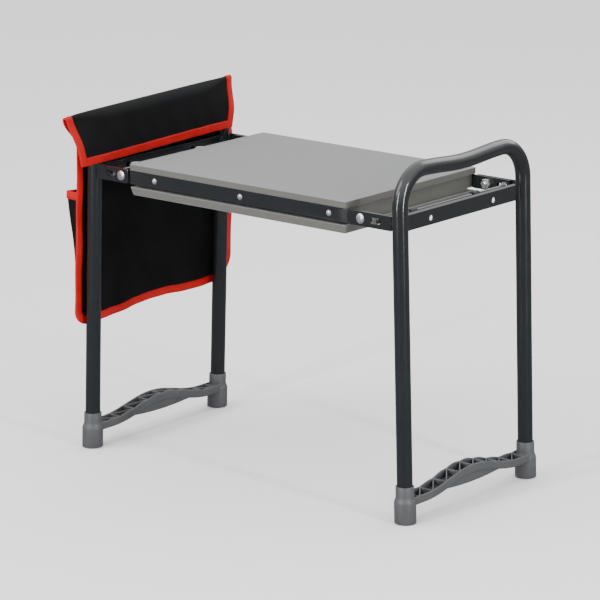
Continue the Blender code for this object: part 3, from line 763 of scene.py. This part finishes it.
class KNEELER_OT_fasteners(bpy.types.Operator):
    """Makes the pivot bolts and the cross-headed screws of the side rails"""

    bl_idname = "kneeler.fasteners"
    bl_label = "Bolts and screws"

    def execute(self, context):
        screw, bolt = (0.0042, 0.0022, 0.0022, 0.0016), (0.0070, 0.0018, 0.0040, 0)
        for word, face in FACES:
            heads = [(f"rail_screw_{word}_{number}", screw) for number in (1, 2, 3)]
            heads += [(f"{end}_pivot_bolt_{word}", bolt) for end, _ in SIDES]
            for name, measures in heads:
                grid = self.headed(name, face, *measures)
                piece = surface_object(f"{name}_metal", grid, sharp=50)
                finish_piece(piece, finishes()["zinc"], "seat", [name])
        return {"FINISHED"}

    def headed(self, name, face, radius, rise, shank, recess):
        """A domed head on a shank. The dome is rise * (1 - share^2.6); a cross sinks into it
        where a point lies within either arm, each a soft band that fades at its end."""
        low, high = box(name)
        centre = (low + high) / 2
        end, start = (low[1], high[1]) if face > 0 else (high[1], low[1])
        centre[1] = start - face * rise
        depth = abs(centre[1] - end)
        angle = np.linspace(0, 2 * np.pi, 64, endpoint=False)
        share = np.concatenate([np.linspace(0, 0.9, 19), [0.95, 0.985, 1]])
        across = np.outer(share * radius, np.cos(angle))
        upward = np.outer(share * radius, np.sin(angle))
        dome = np.broadcast_to((rise * (1 - share**2.6))[:, None], across.shape)
        arms = [
            smoothstep((0.00062 - np.abs(one)) / 0.0003) * smoothstep((0.0026 - np.abs(other)) / 0.0008)
            for one, other in ((across, upward), (upward, across))
        ]
        dome = dome - recess * np.maximum(*arms)
        rest = [(radius, -0.0002), (shank, -0.0002), (shank, 0.0012 - depth)]
        rest += [(shank * 0.7, -depth), (0, -depth)]
        radii = np.array([r for r, _ in rest])
        steps = np.array([d for _, d in rest])
        across = np.concatenate([across, np.outer(radii, np.cos(angle))])
        upward = np.concatenate([upward, np.outer(radii, np.sin(angle))])
        out = np.concatenate([dome, np.broadcast_to(steps[:, None], (len(rest), 64))])
        return np.stack([across, face * out, upward], -1) + centre


class KNEELER_OT_locks(bpy.types.Operator):
    """Makes the two spring lock rods, with their sleeves and the four wire springs"""

    bl_idname = "kneeler.locks"
    bl_label = "Lock rods and springs"

    def execute(self, context):
        surfaces = finishes()
        for end, side in SIDES:
            lock = f"{end}_lock"
            low, high = box(f"{end}_lock_rod")
            centre = (low + high) / 2
            radius, half, soft = (high[0] - low[0]) / 2, (high[1] - low[1]) / 2, 0.0006
            profile = [(0, half), (radius - soft, half), (radius, half - soft)]
            profile += [(r, -d) for r, d in profile[::-1]]
            piece = surface_object(f"{end}_lock_bar", turned(profile, centre, (0, 1, 0), 28))
            finish_piece(piece, surfaces["paint"], lock, [f"{end}_lock_rod"])
            for word, _ in FACES:
                node_name = f"{end}_rod_sleeve_{word}"
                grid = self.sleeve(box(node_name), radius)
                piece = surface_object(f"{node_name}_ribbed", grid)
                finish_piece(piece, surfaces["sleeve"], lock, [node_name])
                self.spring(context.scene.kneeler_sizes, end, side, word)
        return {"FINISHED"}

    def sleeve(self, corners, bore):
        """A turned sleeve whose outer side has five shallow grooves, as a raised cosine."""
        centre, half = corners.mean(axis=0), (corners[1, 1] - corners[0, 1]) / 2
        outer = (corners[1, 0] - corners[0, 0]) / 2
        along = np.linspace(half, -half, 41)
        groove = 0.0004 * (0.5 - 0.5 * np.cos(2 * np.pi * 5 * along / (2 * half)))
        inner = bore + 0.0003
        profile = [(inner, half), (outer - 0.0005, half)]
        profile += list(zip(outer - groove, along * 0.96))
        profile += [(outer - 0.0005, -half), (inner, -half), (inner, half)]
        return turned(profile, centre, (0, 1, 0), 32)

    def spring(self, sizes, end, side, word):
        """A helix between the sleeve and the cross bar's hole: it turns once in each pitch, and its
        radius falls to nothing at both ends, where the wire runs on straight."""
        name = f"{end}_lock_spring_{word}"
        low, high = box(name)
        y = (low[1] + high[1]) / 2
        rod = middle(f"{end}_lock_rod")
        first = np.array([rod[0] + side * 0.0066, y, rod[2]])
        last = np.array([side * (leg_x(0.4175) - 0.0035), y, 0.4175])
        share = np.linspace(0, 1, 420)
        turns, radius = 9, 0.0029
        swell = radius * smoothstep(share / 0.08) * smoothstep((0.80 - share) / 0.08)
        angle = 2 * np.pi * turns * share / 0.84
        path = first + share[:, None] * (last - first)
        path[:, 1] += swell * np.cos(angle)
        path[:, 2] += swell * np.sin(angle)
        along = unit(np.gradient(path, axis=0))
        up = np.cross(along, [1.0, 0, 0])
        up += np.where(np.linalg.norm(up, axis=1, keepdims=True) < 1e-3, [[0, 0, 1.0]], 0)
        up = unit(up)
        ring = round_section(2 * sizes.wire, 2 * sizes.wire, 2, 8)
        grid = capped(carried(path, np.cross(up, along), up, ring), 0.0001)
        piece = surface_object(f"{name}_coil", grid)
        piece.data.transform(Matrix.Translation(Vector(MIDDLE)))
        piece.data.materials.append(finishes()["zinc"])
        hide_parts(name)
        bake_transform(piece)


# Tool bag

FOLD_FRONT, FOLD_BACK = -0.207, 0.158
PANEL_FRONT, PANEL_BACK = -0.164, 0.184
FLAP_IN = (0.022, 0.010)  # how far the flap's front and back edges draw in towards its hem
CLOTH_OFFSET = 0.0140  # from the tubes' centre line to the cloth


class BagShape:
    """The bag's cloth as a function of two numbers. The first runs from -1 at the flap's hem,
    through 0 on the fold, to 1 at the outer panel's hem, and the second from front to back."""

    def __init__(self, ripple):
        self.ripple = ripple

    def fold_height(self, y):
        share = (y - FOLD_FRONT) / (FOLD_BACK - FOLD_FRONT)
        return 0.5080 + 0.0087 * share - 0.0022 * smoothstep((-0.182 - y) / 0.022)

    def panel_hem(self, y):
        """A nearly level hem, raised at each side along a quarter circle, wider at the back."""
        level = 0.1880 + 0.0115 * (y - PANEL_FRONT) / (PANEL_BACK - PANEL_FRONT)
        level = level + 0.0025 * np.sin(2 * np.pi * (y + 0.06) / 0.23)
        for edge, way, radius in ((PANEL_FRONT, 1, 0.022), (PANEL_BACK, -1, 0.034)):
            short = np.clip(radius - way * (y - edge), 0, radius)
            level = level + radius - np.sqrt(radius**2 - short**2)
        return level

    def flap_hem(self, y):
        return 0.4335 + 0.0075 * smoothstep((y + 0.197) / 0.345)

    def width(self, w):
        """The front and back edges' places, at each share of the way from the fold to a hem."""
        inner, outer = np.clip(-w, 0, 1), np.clip(w, 0, 1)
        front = FOLD_FRONT + FLAP_IN[0] * inner + (PANEL_FRONT - FOLD_FRONT) * smoothstep(outer / 0.20)
        back = FOLD_BACK - FLAP_IN[1] * inner + (PANEL_BACK - FOLD_BACK) * smoothstep(outer / 0.40)
        return front, back

    def __call__(self, w, v):
        """Half a circle over the handle, then straight down on both sides, at the tubes' lean.
        The fold's radius shrinks towards its two ends, where no handle holds it open."""
        front, back = self.width(w)
        y = front + (back - front) * v
        top = self.fold_height(y)
        clear = np.minimum(y - FOLD_FRONT, FOLD_BACK - y)
        radius = 0.0030 + 0.0110 * smoothstep(clear / 0.085)
        hem = np.where(w < 0, self.flap_hem(y), self.panel_hem(y))
        quarter = radius * np.pi / 2
        run = np.abs(w) * (quarter + top - radius - hem)
        turn = np.minimum(run / radius, np.pi / 2)
        over = run > quarter
        z = np.where(over, top - radius - (run - quarter), top - radius * (1 - np.cos(turn)))
        fold = np.where(over, radius, radius * np.sin(turn))
        settled = smoothstep((top - z) / 0.055)
        out = fold * (1 - settled) + CLOTH_OFFSET * settled
        hang = smoothstep((top - z - 0.04) / 0.20)
        soft = np.sin(2 * np.pi * (y / 0.171 + 0.11)) + 0.45 * np.sin(2 * np.pi * (y / 0.067 + z / 0.31))
        held = np.minimum(1, np.abs(np.abs(y) - 0.1417) / 0.025)
        belly = 0.0030 * np.cos(np.pi * np.clip(y / 0.28, -0.5, 0.5)) * hang
        small = 0.0005 * np.sin(2 * np.pi * (y / 0.043 + z / 0.09)) * settled
        out = out + np.where(w > 0, (self.ripple * soft * 0.7 * held + belly) * hang + small, -small)
        x = -leg_x(z) - np.where(w > 0, out, -out)
        return np.stack([x, y, z], -1)

    def normal(self, w, v):
        """The outward side of the cloth, from small steps both ways."""
        step = 1e-3
        along = self(np.clip(w + step, -1, 1), v) - self(np.clip(w - step, -1, 1), v)
        aside = self(w, np.clip(v + step, 0, 1)) - self(w, np.clip(v - step, 0, 1))
        return unit(np.cross(aside, along))


def bag_shape(context):
    return BagShape(context.scene.bag_sizes.ripple)


def lengths_along(path):
    """The distance from a path's start to each of its points."""
    steps = np.linalg.norm(np.diff(path, axis=0), axis=-1)
    return np.concatenate([[0], np.cumsum(steps)])


def cloth_object(name, grid, thickness):
    """An open sheet with UVs in metres along its threads, and a real thickness."""
    down = np.mean([lengths_along(grid[:, i]) for i in range(0, grid.shape[1], 8)], axis=0)
    across = np.mean([lengths_along(grid[i]) for i in range(0, grid.shape[0], 8)], axis=0)
    uv = np.stack(np.meshgrid(down, across, indexing="ij"), -1)
    piece = surface_object(name, grid, wrap=False, uv=uv, sharp=70)
    wall = piece.modifiers.new("cloth", "SOLIDIFY")
    wall.thickness = thickness
    wall.offset = 0
    return piece, (across[-1], down[-1])


def tape_object(name, path, inward, normal, width, thickness, closed=False):
    """A folded tape over an edge: a soft rectangle carried along it, a little outside the edge."""
    section = round_section(width, thickness, 5, 20)
    centre = path + inward * (width / 2 - 0.0007)
    grid = carried(centre, inward, normal, section)
    along = lengths_along(path)
    if closed:
        grid = np.concatenate([grid, grid[:1]])
        along = np.append(along, along[-1] + np.linalg.norm(path[0] - path[-1]))
    else:
        grid = capped(grid, 0.0003)
        along = np.concatenate([along[:1], along[:1], along, along[-1:], along[-1:]])
    part = section[:, 0] / width + 0.5
    uv = np.stack(np.meshgrid(along, part, indexing="ij"), -1)
    return surface_object(name, grid, uv=uv, sharp=70)


def edge_frames(shape, w, v, closed=False):
    """Points on an edge, the way in over the cloth, and the cloth's outward side."""
    path = shape(w, v)
    if closed:
        along = np.roll(path, -1, axis=0) - np.roll(path, 1, axis=0)
    else:
        along = np.gradient(path, axis=0)
    normal = shape.normal(w, v)
    inward = unit(np.cross(normal, unit(along)))
    towards = shape(w * 0.97, 0.5 + (v - 0.5) * 0.97) - path
    flip = np.sign(np.einsum("ij,ij->i", inward, towards).mean())
    return path, inward * flip, normal


class KNEELER_OT_bag(bpy.types.Operator):
    """Makes the tool bag's cloth, hung over the left handle, and the tape round all its edges"""

    bl_idname = "kneeler.bag"
    bl_label = "Bag cloth and binding"

    def execute(self, context):
        sizes = context.scene.bag_sizes
        shape = bag_shape(context)
        w = np.concatenate([np.linspace(-1, -0.25, 20)[:-1], np.linspace(-0.25, 0.10, 40)[:-1]])
        w = np.concatenate([w, np.linspace(0.10, 1, 70)])
        v = 0.5 - 0.5 * np.cos(np.linspace(0, np.pi, 97))
        grid = shape(*np.meshgrid(w, v, indexing="ij"))
        cloth, flat = cloth_object("bag_hanging_cloth", grid, sizes.cloth)
        finish_piece(cloth, finishes()["cloth"], "left_leg", ["bag_cloth"])
        tape = self.tape(sizes, shape)
        finish_piece(tape, finishes()["binding"], "left_leg")
        return {"FINISHED"}

    def tape(self, sizes, shape):
        """One closed run: down the front edge, along the panel's hem, up the back, along the flap's."""
        down = np.concatenate([np.linspace(-1, -0.2, 30)[:-1], np.linspace(-0.2, 0.12, 60)[:-1]])
        down = np.concatenate([down, np.linspace(0.12, 1, 90)])
        over = 0.5 - 0.5 * np.cos(np.linspace(0, np.pi, 160))
        w = [down, np.ones(158), down[::-1], -np.ones(158)]
        v = [np.zeros(len(down)), over[1:-1], np.ones(len(down)), over[::-1][1:-1]]
        frames = edge_frames(shape, np.concatenate(w), np.concatenate(v), closed=True)
        args = (sizes.binding_width, sizes.binding_thickness)
        return tape_object("bag_binding", *frames, *args, closed=True)


POCKET_TOP = 0.3870
POCKET_KNEE = 0.255


class PocketShape:
    """The pockets' front as a function of height and of the way from front to back. It stands out
    from the panel by a depth that grows from the knee up, and dips to the panel at each seam."""

    def __init__(self, bag, depth, count):
        self.bag, self.depth, self.count = bag, depth, count

    def panel(self, y, z):
        """The outer panel's place at a height, found along its length by its own hem."""
        front, back = PANEL_FRONT, PANEL_BACK
        v = np.clip((y - front) / (back - front), 0, 1)
        top, hem = self.bag.fold_height(y), self.bag.panel_hem(y)
        w = np.clip((top - z) / (top - hem), 0.12, 1)
        return self.bag(w, v)[..., 0]

    def __call__(self, w, v):
        """w runs from 0 at the mouth to 1 at the foot."""
        sag = 0.0035 * np.abs(np.sin(np.pi * self.count * v)) * (1 - w)
        y = PANEL_FRONT + 0.0015 + (PANEL_BACK - PANEL_FRONT - 0.003) * v
        foot = self.bag.panel_hem(y) + 0.006
        z = POCKET_TOP - sag - (POCKET_TOP - foot) * w
        ends = 0.0035
        near_end = np.minimum(y - y.min(), y.max() - y)
        standing = smoothstep(near_end / ends)
        seams = [PANEL_FRONT + (PANEL_BACK - PANEL_FRONT) * i / self.count for i in range(1, self.count)]
        dip = sum(np.exp(-(((y - seam) / 0.0075) ** 2)) for seam in seams)
        share = np.clip((z - POCKET_KNEE) / (POCKET_TOP - POCKET_KNEE), 0, 1) ** 1.15
        puff = 0.0012 * np.abs(np.sin(np.pi * self.count * v)) * smoothstep((POCKET_KNEE + 0.03 - z) / 0.08)
        out = 0.0021 + (self.depth * share + puff) * standing * (1 - 0.82 * dip)
        return np.stack([self.panel(y, z) - out, y, z], -1)

    normal = BagShape.normal


class KNEELER_OT_pockets(bpy.types.Operator):
    """Makes the row of open pockets on the bag's outer side, with a tape along their mouth"""

    bl_idname = "kneeler.pockets"
    bl_label = "Bag pockets"

    def execute(self, context):
        sizes = context.scene.bag_sizes
        shape = PocketShape(bag_shape(context), sizes.pocket_depth, sizes.pocket_count)
        ends = np.linspace(0, 0.011, 12)
        v = np.concatenate([ends[:-1], np.linspace(0.011, 0.989, 241)[:-1], 1 - ends[::-1]])
        w = np.linspace(0, 1, 60)
        grid = shape(*np.meshgrid(w, v, indexing="ij"))
        front, flat = cloth_object("bag_pocket_cloth", grid, sizes.cloth)
        finish_piece(front, finishes()["cloth"], "left_leg", ["bag_pockets"])
        path = shape(np.zeros_like(v), v)
        along = unit(np.gradient(path, axis=0))
        down = everywhere((0, 0, -1), path)
        normal = unit(np.cross(along, down))
        tape = tape_object(
            "bag_pocket_binding", path, down, normal, sizes.binding_width, sizes.binding_thickness * 0.8
        )
        finish_piece(tape, finishes()["binding"], "left_leg")
        return {"FINISHED"}


# Stage


class KNEELER_OT_stage(bpy.types.Operator):
    """Makes the floor, the soft lights and the camera. The tubes mirror the sky and lamps, not the floor"""

    bl_idname = "kneeler.stage"
    bl_label = "Floor, lights and camera"

    def execute(self, context):
        mesh = bpy.data.meshes.new("floor")
        corners = [(-40, -40, 0), (40, -40, 0), (40, 40, 0), (-40, 40, 0)]
        mesh.from_pydata(corners, [], [(0, 1, 2, 3)])
        floor = bpy.data.objects.new("floor", mesh)
        context.scene.collection.objects.link(floor)
        floor.location.z = -0.0003
        surface, _, _ = new_finish("pale_floor", (0.86, 0.86, 0.86), 0.9)
        mesh.materials.append(surface)
        floor.visible_glossy = False
        world = bpy.data.worlds.new("studio")
        world.use_nodes = True
        tree = world.node_tree
        way = node(tree, "ShaderNodeTexCoord").outputs["Generated"]
        height = node(tree, "ShaderNodeSeparateXYZ", {"Vector": way}).outputs["Z"]
        values = {"Value": height, "From Min": 0.0, "From Max": 0.8, "To Min": 0.22, "To Max": 1.9}
        strength = node(tree, "ShaderNodeMapRange", values).outputs["Result"]
        tree.nodes["Background"].inputs["Color"].default_value = (1, 1, 1, 1)
        tree.links.new(strength, tree.nodes["Background"].inputs["Strength"])
        context.scene.world = world
        self.light("key", (-1.3, -1.7, 2.1), 1.6, 1.6, 30)
        self.light("right_strip", (3.0, -0.47, 1.1), 0.18, 2.2, 60)
        self.light("left_strip", (-0.16, -3.0, 1.1), 0.18, 2.2, 60)
        self.light("back", (0.3, 2.0, 1.7), 1.5, 1.5, 16)
        self.camera(context)
        return {"FINISHED"}

    def light(self, name, place, width, height, power):
        data = bpy.data.lights.new(name, "AREA")
        data.shape = "RECTANGLE"
        data.size, data.size_y = width, height
        data.energy = power
        lamp = bpy.data.objects.new(name, data)
        lamp.location = place
        lamp.visible_camera = False
        lamp.rotation_euler = (Vector((0, 0, 0.3)) - Vector(place)).to_track_quat("-Z", "Y").to_euler()
        bpy.context.scene.collection.objects.link(lamp)

    def camera(self, context):
        """A long lens, from the right-hand end's front corner and a little above."""
        around, above = math.radians(39.344), math.radians(14.179)
        distance, focal = 5.0302, 209.23
        target = Vector(MIDDLE) + Vector((0, -0.01373, 0.2452))
        back = Vector(
            (math.sin(around) * math.cos(above), -math.cos(around) * math.cos(above), math.sin(above))
        )
        data = bpy.data.cameras.new("camera")
        data.lens = focal
        data.sensor_width = 36
        data.clip_end = 50
        camera = bpy.data.objects.new("camera", data)
        camera.location = target + back * distance
        camera.rotation_euler = (-back).to_track_quat("-Z", "Y").to_euler()
        context.scene.collection.objects.link(camera)
        context.scene.camera = camera


OPERATORS = (
    KNEELER_OT_stage,
    KNEELER_OT_legs,
    KNEELER_OT_feet,
    KNEELER_OT_pads,
    KNEELER_OT_brackets,
    KNEELER_OT_fasteners,
    KNEELER_OT_locks,
    KNEELER_OT_bag,
    KNEELER_OT_pockets,
)


class KNEELER_PT_panel(bpy.types.Panel):
    """Sizes, colours and one button for each group of pieces"""

    bl_label = "Garden kneeler"
    bl_idname = "KNEELER_PT_panel"
    bl_space_type = "VIEW_3D"
    bl_region_type = "UI"
    bl_category = "Kneeler"

    def draw(self, context):
        for group in (context.scene.kneeler_sizes, context.scene.bag_sizes, context.scene.kneeler_colours):
            column = self.layout.column(align=True)
            for key in group.__annotations__:
                column.prop(group, key)
        for operator in OPERATORS:
            self.layout.operator(operator.bl_idname)


CLASSES = (KneelerSizes, BagSizes, KneelerColours, *OPERATORS, KNEELER_PT_panel)


def register():
    for item in CLASSES:
        bpy.utils.register_class(item)
    bpy.types.Scene.kneeler_sizes = bpy.props.PointerProperty(type=KneelerSizes)
    bpy.types.Scene.bag_sizes = bpy.props.PointerProperty(type=BagSizes)
    bpy.types.Scene.kneeler_colours = bpy.props.PointerProperty(type=KneelerColours)


def unregister():
    for name in ("kneeler_sizes", "bag_sizes", "kneeler_colours"):
        delattr(bpy.types.Scene, name)
    for item in reversed(CLASSES):
        bpy.utils.unregister_class(item)


def main():
    register()
    for operator in OPERATORS:
        group, action = operator.bl_idname.split(".")
        getattr(getattr(bpy.ops, group), action)()


if __name__ == "__main__":
    main()
